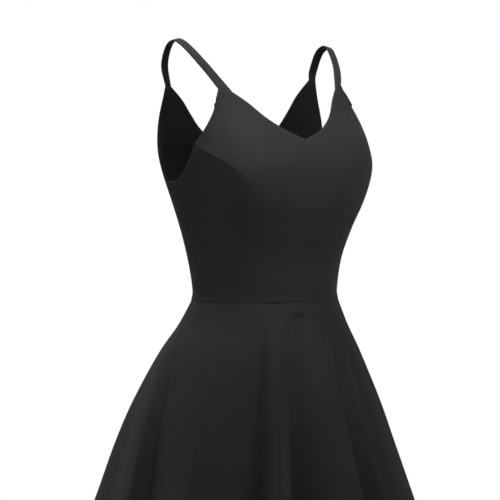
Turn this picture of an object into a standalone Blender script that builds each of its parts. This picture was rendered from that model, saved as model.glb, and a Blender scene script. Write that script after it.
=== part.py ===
"""Cocktail dress with a V neck, shoulder straps, bust darts, a waist seam and a flared skirt.

It is hollow and filled out as worn. Metres, +Z up. The front faces -Y and the wearer's left is +X.
The origin is midway between the tops of the straps, where the wearer's shoulders hold the dress.
Heights on the bodice are measured up from the waist seam and heights on the skirt down from it.
A turn is an angle in degrees round the body: 0 is the centre front, 90 the wearer's left, 180 the back.
"""

import bisect
import math

import bmesh
import bpy
from mathutils import Matrix, Vector

# Driving sizes
STRAP_TOP_TO_WAIST = 0.3835
SKIRT_LENGTH = 0.580
SHOULDERS_BEHIND_WAIST = 0.030
CLOTH_THICKNESS = 0.0015
STRAP_THICKNESS = 0.0020
STRAP_WIDTH = 0.0140
SEAM_GAP = 0.0003
SIDE_SEAM_TURN = 100.0
# The skirt's right side seam leans forward with a fold: it starts at the bodice's and ends at this turn
SKIRT_SEAM_RIGHT = -80.5
UNDERARM = 0.1745

# The body of the bodice: one row for each level section. Its middle is how far behind the waist's it lies.
SECTION_COLUMNS = ("above", "half_width", "middle", "front", "back", "front_power", "back_power")
SECTIONS = (
    (0.000, 0.1170, -0.002, 0.0862, 0.0862, 2.0, 2.0),
    (0.016, 0.1160, -0.002, 0.0855, 0.0855, 2.0, 2.0),
    (0.060, 0.1205, 0.000, 0.0870, 0.0860, 2.3, 2.2),
    (0.104, 0.1285, 0.004, 0.1080, 0.0830, 2.6, 2.5),
    (0.149, 0.1405, 0.010, 0.1305, 0.0760, 2.9, 2.9),
    (0.196, 0.1530, 0.018, 0.1380, 0.0620, 3.1, 3.8),
    (0.236, 0.1585, 0.020, 0.1245, 0.0500, 3.0, 5.5),
    (0.271, 0.1590, 0.020, 0.1045, 0.0460, 2.7, 6.0),
    (0.311, 0.1545, 0.020, 0.0850, 0.0435, 2.4, 6.0),
    (0.341, 0.1525, 0.020, 0.0750, 0.0430, 2.3, 6.0),
)

# The cup that each dart makes
CUP_DEPTH = 0.006
CUP_TURN = 38.0
CUP_ABOVE = 0.201
CUP_TURN_SPREAD = 18.0
CUP_RISE_SPREAD = 0.045

# Upper edges of half a panel, from its centre to its side seam: (turn, above), turned from its own centre
FRONT_NECK = ((0.0, 0.2355), (14.0, 0.248), (28.0, 0.266), (41.0, 0.2880), (51.5, 0.3035))
FRONT_ARMHOLE = (
    (60.0, 0.308),
    (59.6, 0.278),
    (62.0, 0.252),
    (66.7, 0.228),
    (73.4, 0.202),
    (81.5, 0.186),
    (91.0, 0.176),
    (100.0, UNDERARM),
)
BACK_NECK = (
    (0.0, 0.1945),
    (11.5, 0.2015),
    (28.0, 0.2175),
    (45.0, 0.2365),
    (57.1, 0.257),
    (63.3, 0.277),
    (67.5, 0.296),
    (72.1, 0.315),
)
BACK_ARMHOLE = (
    (74.4, 0.315),
    (75.1, 0.286),
    (75.8, 0.258),
    (76.5, 0.216),
    (78.0, 0.186),
    (80.0, UNDERARM),
)
# The straps join a little higher on the wearer's left
LEFT_FRONT_LIFT = 0.010
LEFT_BACK_LIFT = 0.017

# Each strap's centre line between its two joins: (share of its length, out, behind, above)
STRAP_ROUTE = (
    (0.28, 0.1227, -0.0154, 0.3480),
    (0.52, 0.1338, 0.0142, 0.3760),
    (0.62, 0.1375, 0.0310, 0.3825),
    (0.72, 0.1375, 0.0490, 0.3740),
    (0.85, 0.1360, 0.0630, 0.3470),
)
SHOULDER_SLOPE = 14.0
# Shares of a strap's length: where it starts to turn to the shoulder, and how soon it is square to its run
WIDTH_TURNS = 0.3
SQUARE_BY = 0.15

# The skirt's mean line, out from the waist, and its swing towards one side. SKIRT_LENGTH is down the cloth.
FLARE_COLUMNS = ("down", "out", "swing")
FLARE = (
    (0.000, 0.0000, 0.0000),
    (0.030, 0.0148, 0.0022),
    (0.075, 0.0388, 0.0076),
    (0.149, 0.0688, 0.0130),
    (0.208, 0.0873, 0.0158),
    (0.295, 0.1120, 0.0170),
    (0.420, 0.1520, 0.0230),
    (0.570, 0.1960, 0.0280),
)
SWING_TURN = -143.0

# Flutes and the hollows between them: (turn, how far out at the hem, how far down it begins, crease).
# The crease is 0 for a soft roll and 1 for an edge.
FLUTES = (
    (-115.5, 0.025, 0.004, 0.3),
    (-100.0, 0.008, 0.000, 0.1),
    (-85.0, 0.022, 0.000, 0.7),
    (-79.0, -0.014, 0.010, 0.1),
    (-63.0, 0.020, 0.000, 0.3),
    (-40.6, -0.050, 0.011, 0.0),
    (-32.0, -0.009, 0.003, 0.5),
    (-28.0, -0.012, 0.001, 1.0),
    (-21.9, -0.046, 0.017, 0.5),
    (4.7, 0.048, 0.030, 0.7),
    (10.7, -0.018, 0.012, 0.3),
    (19.5, 0.040, 0.008, 0.8),
    (25.0, 0.012, 0.012, 0.3),
    (40.0, 0.020, 0.010, 0.2),
    (52.7, 0.024, 0.050, 0.0),
    (59.2, 0.027, 0.035, 0.9),
    (75.6, -0.049, 0.003, 0.2),
    (92.0, 0.034, 0.010, 0.5),
    (102.0, -0.032, 0.020, 0.2),
    (120.0, 0.040, 0.000, 0.1),
    (137.0, -0.036, 0.030, 0.3),
    (149.0, 0.032, 0.010, 0.6),
    (159.0, -0.036, 0.020, 0.2),
    (180.0, 0.040, 0.000, 0.1),
    (197.0, -0.038, 0.020, 0.3),
    (209.0, 0.038, 0.010, 0.5),
    (219.0, -0.032, 0.020, 0.2),
)
# How much further round the cloth of one turn at the hem starts at the waist
LEAN_COLUMNS = ("turn", "lean")
LEAN = (
    (-150.0, 0.0),
    (-135.0, -3.0),
    (-115.0, -12.0),
    (-99.0, -19.0),
    (-85.0, -23.0),
    (-80.5, -19.5),
    (-72.0, -10.5),
    (-62.0, -1.5),
    (-52.0, 0.5),
    (-26.0, 2.2),
    (5.0, 14.0),
    (12.0, 17.0),
    (19.5, 20.0),
    (27.0, 17.5),
    (40.0, 10.0),
    (55.0, 2.5),
    (70.0, 0.0),
    (100.0, 0.0),
    (120.0, 2.0),
    (149.0, -5.0),
    (180.0, 0.0),
    (209.0, 0.0),
)
LEAN_FADES = 0.11
# A flute grows by this power of the way down to the hem, and stands out by up to this share more above it
FLUTE_GROWTH = 1.21
FLUTE_SWELL = 0.99
HEM_ROUNDING = 0.7

# The closed zip down the centre back
ZIP_ABOVE = 0.184
SLIDER_WIDTH, SLIDER_LENGTH, SLIDER_DEPTH = 0.0052, 0.0086, 0.0022
SLIDER_TAPER = 0.72
SLIDER_ROUND = 0.0006
BRIDGE_RADIUS, BRIDGE_BAR = 0.0036, 0.0011
PULL_AXIS_OFF_SLIDER = 0.0014
PULL_THICKNESS = 0.0010
PULL_BEVEL = 0.00015
# (below the axis, half width)
PULL_OUTLINE = (
    (-0.0006, 0.0014),
    (-0.0002, 0.0020),
    (0.0050, 0.0021),
    (0.0085, 0.0015),
    (0.0145, 0.0019),
    (0.0195, 0.0026),
    (0.0215, 0.0021),
    (0.0224, 0.0008),
)
# The slot that the bridge passes through: its top and bottom below the axis, and its half width
PULL_SLOT = (0.0006, 0.0043, 0.0012)

# Mesh fineness
NECK_COLUMNS = 10
JOIN_COLUMNS = 2
ARMHOLE_COLUMNS = 10
BODICE_ROWS = 16
ROW_SPREAD = 2.0
SKIRT_ROWS = 13
SKIRT_COLUMN_TURN = 4.0
STRAP_COLUMNS_ACROSS = 3
STRAP_ROWS = 30
BRIDGE_SIDES, BRIDGE_STEPS = 8, 10
SHARP_EDGE = math.radians(55)
# How far apart two points are taken to find a surface's slope, in degrees round it and metres up it
SLOPE_TURN, SLOPE_RISE = 1.0, 0.002


def clear_scene():
    for item in list(bpy.data.objects):
        bpy.data.objects.remove(item)


def smooth_between(places, values, at):
    """A smooth curve through values at rising places, read at one place and level beyond its ends."""
    last = len(places) - 1
    at = min(max(at, places[0]), places[last])
    k = min(bisect.bisect_right(places, at), last) - 1
    span = places[k + 1] - places[k]
    slopes = []
    for low, high in ((max(k - 1, 0), k + 1), (k, min(k + 2, last))):
        slopes.append(span * (values[high] - values[low]) / (places[high] - places[low]))
    t = (at - places[k]) / span
    return (
        (2 * t**3 - 3 * t**2 + 1) * values[k]
        + (t**3 - 2 * t**2 + t) * slopes[0]
        + (3 * t**2 - 2 * t**3) * values[k + 1]
        + (t**3 - t**2) * slopes[1]
    )


def read_table(table, columns, name, at):
    """The named column of a table, read smoothly at a place in its first column."""
    which = columns.index(name)
    return smooth_between([row[0] for row in table], [row[which] for row in table], at)


def placed(x, y, above):
    """A point given from the middle of the waist, in the part's own frame."""
    return Vector((x, y - SHOULDERS_BEHIND_WAIST, above - STRAP_TOP_TO_WAIST))


def section_reach(turn, half_width, depth, power):
    """How far a rounded-box section reaches from its middle in one direction."""
    angle = math.radians(turn)
    across = abs(math.sin(angle)) / half_width
    along = abs(math.cos(angle)) / depth
    return (across**power + along**power) ** (-1 / power)


def bodice_point(turn, above):
    """A point on the outer face of the bodice."""
    half_width, middle, front, back, front_power, back_power = (
        read_table(SECTIONS, SECTION_COLUMNS, name, above) for name in SECTION_COLUMNS[1:]
    )
    ahead = abs((turn + 180) % 360 - 180) < 90
    depth, power = (front, front_power) if ahead else (back, back_power)
    reach = section_reach(turn, half_width, depth, power)
    for side in (-1, 1):
        across = (turn - side * CUP_TURN) / CUP_TURN_SPREAD
        up = (above - CUP_ABOVE) / CUP_RISE_SPREAD
        reach += CUP_DEPTH * math.exp(-(across**2 + up**2) / 2)
    angle = math.radians(turn)
    return placed(reach * math.sin(angle), middle - reach * math.cos(angle), above)


def lifted(above, neck, lift):
    """Raises an upper edge towards its strap join."""
    share = (above - UNDERARM) / (neck[-1][1] - UNDERARM)
    return above + lift * max(0.0, share) ** 3


def upper_edge(neck, armhole, share, lift):
    """(turn, above) on a half panel's upper edge, from its centre (0) to its side seam (1)."""
    column = share * (NECK_COLUMNS + JOIN_COLUMNS + ARMHOLE_COLUMNS)
    if column <= NECK_COLUMNS:
        run, t = neck, column / NECK_COLUMNS
    elif column >= NECK_COLUMNS + JOIN_COLUMNS:
        run, t = armhole, (column - NECK_COLUMNS - JOIN_COLUMNS) / ARMHOLE_COLUMNS
    else:
        run, t = (neck[-1], armhole[0]), (column - NECK_COLUMNS) / JOIN_COLUMNS
    along = [0.0]
    for a, b in zip(run, run[1:]):
        along.append(along[-1] + (bodice_point(*b) - bodice_point(*a)).length)
    turn, above = (smooth_between(along, [row[k] for row in run], t * along[-1]) for k in (0, 1))
    return turn, lifted(above, neck, lift)


def make_material(name, colour, roughness, metallic=0.0):
    material = bpy.data.materials.new(name)
    material.use_nodes = True
    shader = material.node_tree.nodes["Principled BSDF"]
    shader.inputs["Base Color"].default_value = (*colour, 1)
    shader.inputs["Roughness"].default_value = roughness
    shader.inputs["Metallic"].default_value = metallic
    material.diffuse_color = (*colour, 1)
    return material


def shortened(run):
    """A run of points that stops half a seam gap short at both ends."""
    ends = [a + (b - a).normalized() * SEAM_GAP / 2 for a, b in (run[:2], run[:-3:-1])]
    return [ends[0], *run[1:-1], ends[1]]


def outward(surface, turn, height):
    """The direction out of a surface that is given by turn and height."""
    across = surface(turn + SLOPE_TURN / 2, height) - surface(turn - SLOPE_TURN / 2, height)
    up = surface(turn, height + SLOPE_RISE / 2) - surface(turn, height - SLOPE_RISE / 2)
    return across.cross(up).normalized()


def wall(name, outer, normals, thickness, material):
    """A closed cloth wall. Its outer face is a grid of points, in rows upwards, each from left to right."""
    outer = [shortened(row) for row in outer]
    outer = list(zip(*(shortened(column) for column in zip(*outer))))
    bm = bmesh.new()
    faces = []
    for depth in (0.0, thickness):
        faces.append(
            [
                [bm.verts.new(point - normal * depth) for point, normal in zip(row, row_normals)]
                for row, row_normals in zip(outer, normals)
            ]
        )
    front, back = faces
    for lower, upper, flip in ((front[:-1], front[1:], False), (back[:-1], back[1:], True)):
        for low, high in zip(lower, upper):
            for k in range(len(low) - 1):
                corners = (low[k], low[k + 1], high[k + 1], high[k])
                bm.faces.new(corners[::-1] if flip else corners)
    rims = []
    for face in faces:
        left, right = [row[0] for row in face], [row[-1] for row in face]
        rims.append(face[0] + right[1:] + face[-1][-2::-1] + left[-2:0:-1])
    front_rim, back_rim = rims
    for k in range(len(front_rim)):
        bm.faces.new((front_rim[k], front_rim[k - 1], back_rim[k - 1], back_rim[k]))
    mesh = bpy.data.meshes.new(name)
    bm.to_mesh(mesh)
    bm.free()
    mesh.shade_smooth()
    mesh.set_sharp_from_angle(angle=SHARP_EDGE)
    mesh.materials.append(material)
    piece = bpy.data.objects.new(name, mesh)
    bpy.context.scene.collection.objects.link(piece)
    return piece


def shares(count):
    return [k / count for k in range(count + 1)]


def panel(name, surface, places, material):
    """A cloth panel over a grid of (turn, height) places on a surface."""
    outer = [[surface(*place) for place in row] for row in places]
    normals = [[outward(surface, *place) for place in row] for row in places]
    return wall(name, outer, normals, CLOTH_THICKNESS, material)


def bodice_panel(name, centre, halves, neck, armhole, seam_turn, material):
    """One bodice panel from its halves: (side, lift) from left to right as seen from outside."""
    half_columns = NECK_COLUMNS + JOIN_COLUMNS + ARMHOLE_COLUMNS
    places = []
    for w in shares(BODICE_ROWS):
        row = []
        for side, lift in halves:
            steps = shares(half_columns)
            for share in steps if side > 0 else reversed(steps):
                top_turn, top = upper_edge(neck, armhole, share, lift)
                rise = w**ROW_SPREAD
                turn = share * seam_turn * (1 - rise) + top_turn * rise
                row.append((centre + side * turn, UNDERARM * w + (top - UNDERARM) * rise))
        if len(halves) == 2:
            del row[half_columns]
        places.append(row)
    return panel(name, bodice_point, places, material)


def make_bodice(material):
    front = ((-1, 0.0), (1, LEFT_FRONT_LIFT))
    bodice_panel("bodice_front", 0.0, front, FRONT_NECK, FRONT_ARMHOLE, SIDE_SEAM_TURN, material)
    for name, side, lift in (("left", -1, LEFT_BACK_LIFT), ("right", 1, 0.0)):
        seam_turn = 180 - SIDE_SEAM_TURN
        half = ((side, lift),)
        bodice_panel(f"bodice_back_{name}", 180.0, half, BACK_NECK, BACK_ARMHOLE, seam_turn, material)


def strap_join(side, centre, neck, armhole, lift):
    """The inner and outer ends of the edge that a strap is sewn to, and the way out of it."""
    places = [(centre + side * turn, lifted(above, neck, lift)) for turn, above in (neck[-1], armhole[0])]
    inner, outer = (bodice_point(*place) for place in places)
    return inner, outer, outward(bodice_point, *places[0])


def strap_stations(ends, widths, route, along, top):
    """The centre, width and outward direction at each row of a strap, from its front join to its back one."""
    centres, across = [], []
    for share in shares(STRAP_ROWS):
        for found, at, points in ((centres, along, route), (across, (0.0, WIDTH_TURNS, top, 1.0), widths)):
            found.append(Vector(smooth_between(at, [point[k] for point in points], share) for k in range(3)))
    normals = []
    for k in range(1, STRAP_ROWS):
        run = (centres[k + 1] - centres[k - 1]).normalized()
        square = (across[k] - run * across[k].dot(run)).normalized() * STRAP_WIDTH
        squared = min(1.0, k / STRAP_ROWS / SQUARE_BY, (1 - k / STRAP_ROWS) / SQUARE_BY)
        across[k] = across[k].lerp(square, squared)
        normals.append(across[k].cross(run).normalized())
    return centres, across, [ends[0], *normals, ends[1]]


def make_straps(material):
    for name, side in (("right", -1), ("left", 1)):
        front_lift, back_lift = (LEFT_FRONT_LIFT, LEFT_BACK_LIFT) if side > 0 else (0.0, 0.0)
        front_inner, front_outer, front_out = strap_join(side, 0.0, FRONT_NECK, FRONT_ARMHOLE, front_lift)
        back_inner, back_outer, back_out = strap_join(-side, 180.0, BACK_NECK, BACK_ARMHOLE, back_lift)
        shoulder = [placed(side * out, behind, above) for _, out, behind, above in STRAP_ROUTE]
        route = [(front_inner + front_outer) / 2, *shoulder, (back_inner + back_outer) / 2]
        along = [0.0, *(row[0] for row in STRAP_ROUTE), 1.0]
        top = max(STRAP_ROUTE, key=lambda row: row[3])[0]
        slope = math.radians(SHOULDER_SLOPE)
        over_shoulder = Vector((side * math.cos(slope), 0, -math.sin(slope))) * STRAP_WIDTH
        front_width, back_width = front_outer - front_inner, back_outer - back_inner
        # Each row runs from left to right as seen from outside, which is outwards on the wearer's left
        widths = [side * width for width in (front_width, front_width, over_shoulder, back_width)]
        centres, across, normals = strap_stations((front_out, back_out), widths, route, along, top)
        outer = []
        for centre, width in zip(centres, across):
            outer.append([centre + width * (u - 0.5) for u in shares(STRAP_COLUMNS_ACROSS)])
        normals = [[normal] * (STRAP_COLUMNS_ACROSS + 1) for normal in normals]
        wall(f"strap_{name}", outer, normals, STRAP_THICKNESS, material)


def crest_to_hollow(t, crease_a, crease_b):
    """An ease from 0 to 1 that is level at a soft end and steepest at a creased one."""
    soft_a, soft_b = 1 - crease_a, 1 - crease_b
    return (
        soft_a * soft_b * (1 - math.cos(math.pi * t)) / 2
        + soft_a * crease_b * (1 - math.cos(math.pi * t / 2))
        + crease_a * soft_b * math.sin(math.pi * t / 2)
        + crease_a * crease_b * t
    )


def flute_at(turn, down):
    """How far the skirt stands out from its mean line. Creases open into rolls towards the hem."""
    share = down / SKIRT_LENGTH
    firm = 1 - HEM_ROUNDING * share**3
    rows = []
    for at, out, begins, crease in FLUTES:
        grown = max(0.0, (down - begins) / (SKIRT_LENGTH - begins))
        out *= grown**FLUTE_GROWTH * (1 + FLUTE_SWELL * (1 - grown**2))
        rows.append((at, out, crease * firm))
    rows.append((rows[0][0] + 360, *rows[0][1:]))
    turn = (turn - rows[0][0]) % 360 + rows[0][0]
    k = bisect.bisect_right([row[0] for row in rows], turn) - 1
    (turn_a, out_a, crease_a), (turn_b, out_b, crease_b) = rows[k : k + 2]
    ease = crest_to_hollow((turn - turn_a) / (turn_b - turn_a), crease_a, crease_b)
    return out_a * (1 - ease) + out_b * ease


def skirt_out(turn, down):
    """How far the skirt lies outside the waist."""
    out, swing = (read_table(FLARE, FLARE_COLUMNS, name, down) for name in ("out", "swing"))
    return out + swing * math.cos(math.radians(turn - SWING_TURN)) + flute_at(turn, down)


def skirt_point(turn, above):
    """A point on the outer face of the skirt, which lies below the waist. The turn is the one at the hem."""
    waist = dict(zip(SECTION_COLUMNS, SECTIONS[0]))
    first = LEAN[0][0]
    lean = read_table(LEAN, LEAN_COLUMNS, "lean", (turn - first) % 360 + first)
    lean *= math.exp(above / LEAN_FADES)
    reach = section_reach(turn + lean, waist["half_width"], waist["front"], waist["front_power"])
    reach += skirt_out(turn, max(0.0, -above))
    angle = math.radians(turn + lean)
    return placed(reach * math.sin(angle), waist["middle"] - reach * math.cos(angle), above)


def hem_drop(turn):
    """How far down the hem hangs: the cloth is cut to one length, so it rises where it stands out."""
    return math.sqrt(SKIRT_LENGTH**2 - skirt_out(turn, FLARE[-1][0]) ** 2)


def skirt_columns(start, end):
    """Turns from one seam to the next, with one on the crest of each flute and the foot of each hollow."""
    stops = sorted({start, end, *(t for row in FLUTES for t in (row[0], row[0] + 360) if start < t < end)})
    turns = [start]
    for a, b in zip(stops, stops[1:]):
        count = max(1, round((b - a) / SKIRT_COLUMN_TURN))
        turns += [a + (b - a) * k / count for k in range(1, count + 1)]
    return turns


def make_skirt(material):
    panels = (
        ("front", SKIRT_SEAM_RIGHT, SIDE_SEAM_TURN),
        ("back_left", SIDE_SEAM_TURN, 180.0),
        ("back_right", 180.0, 360 + SKIRT_SEAM_RIGHT),
    )
    for name, start, end in panels:
        turns = skirt_columns(start, end)
        places = [[(turn, -hem_drop(turn) * (1 - w)) for turn in turns] for w in shares(SKIRT_ROWS)]
        panel(f"skirt_{name}", skirt_point, places, material)


def add_object(name, bm, material):
    mesh = bpy.data.meshes.new(name)
    bm.to_mesh(mesh)
    bm.free()
    mesh.materials.append(material)
    piece = bpy.data.objects.new(name, mesh)
    bpy.context.scene.collection.objects.link(piece)
    return piece


def turned_outline(rows):
    """The closed outline (across, up) of a tab given as half widths below its axis."""
    right = [(half_width, -below) for below, half_width in rows]
    return right + [(-across, up) for across, up in reversed(right)]


def plate(name, outline, hole, thickness, material):
    """A flat plate across the body, centred on its own origin, with one hole through it."""
    bm = bmesh.new()
    for loop in (outline, hole):
        verts = [bm.verts.new((across, 0, up)) for across, up in loop]
        for a, b in zip(verts, verts[1:] + verts[:1]):
            bm.edges.new((a, b))
    bmesh.ops.triangle_fill(bm, use_beauty=True, use_dissolve=False, edges=bm.edges[:])
    bmesh.ops.recalc_face_normals(bm, faces=bm.faces[:])
    piece = add_object(name, bm, material)
    both_ways = piece.modifiers.new("thickness", "SOLIDIFY")
    both_ways.thickness = thickness
    both_ways.offset = 0
    edges = piece.modifiers.new("edges", "BEVEL")
    edges.width = PULL_BEVEL
    edges.limit_method = "ANGLE"
    edges.angle_limit = SHARP_EDGE
    return piece


def make_zip(material):
    """The slider rests on the seam just under the neck, and its pull tab hangs straight down."""
    seat = bodice_point(180.0, ZIP_ABOVE)
    below = bodice_point(180.0, ZIP_ABOVE - SLIDER_LENGTH)
    lean = math.atan2(seat.y - below.y, seat.z - below.z)
    slider_face = SEAM_GAP + SLIDER_DEPTH

    body = bmesh.new()
    bmesh.ops.create_cube(body, size=1)
    for vertex in body.verts:
        narrow = SLIDER_TAPER if vertex.co.z < 0 else 1.0
        x, y, z = vertex.co
        vertex.co = (x * SLIDER_WIDTH * narrow, SEAM_GAP + (y + 0.5) * SLIDER_DEPTH, z * SLIDER_LENGTH)
    bmesh.ops.bevel(body, geom=body.edges[:], offset=SLIDER_ROUND, segments=2, affect="EDGES", profile=0.5)
    slider = add_object("zip_slider", body, material)

    bar = bmesh.new()
    sunk = slider_face - SLIDER_ROUND
    leg = Matrix.Translation((0, sunk, BRIDGE_RADIUS)) @ Matrix.Rotation(math.pi / 2, 4, "X")
    ring = bmesh.ops.create_circle(bar, segments=BRIDGE_SIDES, radius=BRIDGE_BAR / 2, matrix=leg)["verts"]
    bmesh.ops.spin(
        bar,
        geom=ring + bar.edges[:],
        cent=(0, sunk, 0),
        axis=(1, 0, 0),
        angle=-math.pi,
        steps=BRIDGE_STEPS,
    )
    bmesh.ops.holes_fill(bar, edges=[edge for edge in bar.edges if edge.is_boundary])
    bmesh.ops.recalc_face_normals(bar, faces=bar.faces[:])
    bridge = add_object("zip_bridge", bar, material)
    bridge.parent = slider
    bridge.hide_render = True
    bridge.display_type = "WIRE"
    joined = slider.modifiers.new("bridge", "BOOLEAN")
    joined.operation = "UNION"
    joined.object = bridge
    slider.location = seat
    slider.rotation_euler.x = -lean

    outline = turned_outline(PULL_OUTLINE)
    top, bottom, half_width = PULL_SLOT
    slot = [(-half_width, -top), (half_width, -top), (half_width, -bottom), (-half_width, -bottom)]
    pull = plate("zip_pull", outline, slot, PULL_THICKNESS, material)
    outward = Vector((0, math.cos(lean), -math.sin(lean)))
    pull.location = seat + outward * (slider_face + PULL_AXIS_OFF_SLIDER)


def main():
    clear_scene()
    crepe = make_material("black_crepe", (0.018, 0.018, 0.019), 0.75)
    make_bodice(crepe)
    make_straps(crepe)
    make_skirt(crepe)
    make_zip(make_material("black_enamelled_zinc", (0.02, 0.02, 0.02), 0.35, 1.0))


main()
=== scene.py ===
"""Cocktail dress in black crepe: V neck, straps, bust darts, waist seam, flared skirt, zip at the back.

Metres, +Z up. The front faces -Y and the wearer's left is +X. A turn is an angle in degrees round the body:
0 is the centre front, 90 the wearer's left, 180 the back. Heights are measured up from the waist seam.
"""

import math

import bpy
import numpy as np
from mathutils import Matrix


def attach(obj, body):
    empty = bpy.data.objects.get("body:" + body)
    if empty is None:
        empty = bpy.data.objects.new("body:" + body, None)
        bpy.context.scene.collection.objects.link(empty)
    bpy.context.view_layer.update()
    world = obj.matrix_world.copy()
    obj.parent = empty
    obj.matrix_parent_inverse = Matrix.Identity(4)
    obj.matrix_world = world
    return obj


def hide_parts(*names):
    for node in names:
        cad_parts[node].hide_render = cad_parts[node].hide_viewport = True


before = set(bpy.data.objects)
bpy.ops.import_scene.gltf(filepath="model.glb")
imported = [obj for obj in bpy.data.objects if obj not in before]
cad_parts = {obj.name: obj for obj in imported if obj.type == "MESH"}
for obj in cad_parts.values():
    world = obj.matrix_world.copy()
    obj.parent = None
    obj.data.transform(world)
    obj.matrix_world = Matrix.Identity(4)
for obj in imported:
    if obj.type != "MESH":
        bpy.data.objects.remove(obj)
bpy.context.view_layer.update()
bpy.ops.object.select_all(action="DESELECT")

MM = 0.001

# ---- The cut, repeated from the solids ----
STRAP_TOP_TO_WAIST = 0.3835
SKIRT_LENGTH = 0.580
SHOULDERS_BEHIND_WAIST = 0.030
STRAP_WIDTH = 0.0140
HALF_SEAM_GAP = 0.15 * MM
SIDE_SEAM_TURN = 100.0
SKIRT_SEAM_RIGHT = -80.5
UNDERARM = 0.1745

# above, half_width, middle, front, back, front_power, back_power
SECTIONS = (
    (0.000, 0.1170, -0.002, 0.0862, 0.0862, 2.0, 2.0),
    (0.016, 0.1160, -0.002, 0.0855, 0.0855, 2.0, 2.0),
    (0.060, 0.1205, 0.000, 0.0870, 0.0860, 2.3, 2.2),
    (0.104, 0.1285, 0.004, 0.1080, 0.0830, 2.6, 2.5),
    (0.149, 0.1405, 0.010, 0.1305, 0.0760, 2.9, 2.9),
    (0.196, 0.1530, 0.018, 0.1380, 0.0620, 3.1, 3.8),
    (0.236, 0.1585, 0.020, 0.1245, 0.0500, 3.0, 5.5),
    (0.271, 0.1590, 0.020, 0.1045, 0.0460, 2.7, 6.0),
    (0.311, 0.1545, 0.020, 0.0850, 0.0435, 2.4, 6.0),
    (0.341, 0.1525, 0.020, 0.0750, 0.0430, 2.3, 6.0),
)
CUP_DEPTH = 0.006
CUP_TURN, CUP_ABOVE = 38.0, 0.201
CUP_TURN_SPREAD, CUP_RISE_SPREAD = 18.0, 0.045

# (turn, above) from the centre of a panel to its side seam
FRONT_NECK = ((0.0, 0.2355), (14.0, 0.248), (28.0, 0.266), (41.0, 0.2880), (51.5, 0.3035))
FRONT_ARMHOLE = (
    (60.0, 0.308),
    (59.6, 0.278),
    (62.0, 0.252),
    (66.7, 0.228),
    (73.4, 0.202),
    (81.5, 0.186),
    (91.0, 0.176),
    (100.0, UNDERARM),
)
BACK_NECK = (
    (0.0, 0.1945),
    (11.5, 0.2015),
    (28.0, 0.2175),
    (45.0, 0.2365),
    (57.1, 0.257),
    (63.3, 0.277),
    (67.5, 0.296),
    (72.1, 0.315),
)
BACK_ARMHOLE = (
    (74.4, 0.315),
    (75.1, 0.286),
    (75.8, 0.258),
    (76.5, 0.216),
    (78.0, 0.186),
    (80.0, UNDERARM),
)
LEFT_FRONT_LIFT, LEFT_BACK_LIFT = 0.010, 0.017

# share of its length, out, behind, above
STRAP_ROUTE = (
    (0.28, 0.1227, -0.0154, 0.3480),
    (0.52, 0.1338, 0.0142, 0.3760),
    (0.62, 0.1375, 0.0310, 0.3825),
    (0.72, 0.1375, 0.0490, 0.3740),
    (0.85, 0.1360, 0.0630, 0.3470),
)
SHOULDER_SLOPE = 14.0
WIDTH_TURNS, SQUARE_BY = 0.3, 0.15

# down, out, swing
FLARE = (
    (0.000, 0.0000, 0.0000),
    (0.030, 0.0148, 0.0022),
    (0.075, 0.0388, 0.0076),
    (0.149, 0.0688, 0.0130),
    (0.208, 0.0873, 0.0158),
    (0.295, 0.1120, 0.0170),
    (0.420, 0.1520, 0.0230),
    (0.570, 0.1960, 0.0280),
)
SWING_TURN = -143.0
# turn, out at the hem, how far down it begins, crease (0 for a soft roll, 1 for an edge)
# The folds at turns 10.7, 19.5 and 25 begin lower than in the solids.
FLUTES = (
    (-115.5, 0.025, 0.004, 0.3),
    (-100.0, 0.008, 0.000, 0.1),
    (-85.0, 0.022, 0.000, 0.7),
    (-79.0, -0.014, 0.010, 0.1),
    (-63.0, 0.020, 0.000, 0.3),
    (-40.6, -0.050, 0.011, 0.0),
    (-32.0, -0.009, 0.003, 0.5),
    (-28.0, -0.012, 0.001, 1.0),
    (-21.9, -0.046, 0.017, 0.5),
    (4.7, 0.048, 0.030, 0.7),
    (10.7, -0.018, 0.026, 0.3),
    (19.5, 0.040, 0.050, 0.8),
    (25.0, 0.012, 0.026, 0.3),
    (40.0, 0.020, 0.010, 0.2),
    (52.7, 0.024, 0.050, 0.0),
    (59.2, 0.027, 0.035, 0.9),
    (75.6, -0.049, 0.003, 0.2),
    (92.0, 0.034, 0.010, 0.5),
    (102.0, -0.032, 0.020, 0.2),
    (120.0, 0.040, 0.000, 0.1),
    (137.0, -0.036, 0.030, 0.3),
    (149.0, 0.032, 0.010, 0.6),
    (159.0, -0.036, 0.020, 0.2),
    (180.0, 0.040, 0.000, 0.1),
    (197.0, -0.038, 0.020, 0.3),
    (209.0, 0.038, 0.010, 0.5),
    (219.0, -0.032, 0.020, 0.2),
)
# turn at the hem, how much further round the same cloth starts at the waist
LEAN = (
    (-150.0, 0.0),
    (-135.0, -3.0),
    (-115.0, -12.0),
    (-99.0, -19.0),
    (-85.0, -23.0),
    (-80.5, -19.5),
    (-72.0, -10.5),
    (-62.0, -1.5),
    (-52.0, 0.5),
    (-26.0, 2.2),
    (5.0, 14.0),
    (12.0, 17.0),
    (19.5, 20.0),
    (27.0, 17.5),
    (40.0, 10.0),
    (55.0, 2.5),
    (70.0, 0.0),
    (100.0, 0.0),
    (120.0, 2.0),
    (149.0, -5.0),
    (180.0, 0.0),
    (209.0, 0.0),
)
LEAN_FADES = 0.11
FLUTE_GROWTH, FLUTE_SWELL, HEM_ROUNDING = 1.21, 0.99, 0.7
CREASES_BEGIN = (0.05, 0.22)

# ---- Sewing and pressing, in real sizes ----
CREPE_THICKNESS = 1.5 * MM
PLY_THICKNESS = 1.2 * MM
HEM_THICKNESS = 2.4 * MM
HEM_ALLOWANCE = 25 * MM
FACED_EDGE_THICKNESS = 2.0 * MM
FACING_WIDTH = 30 * MM
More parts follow.
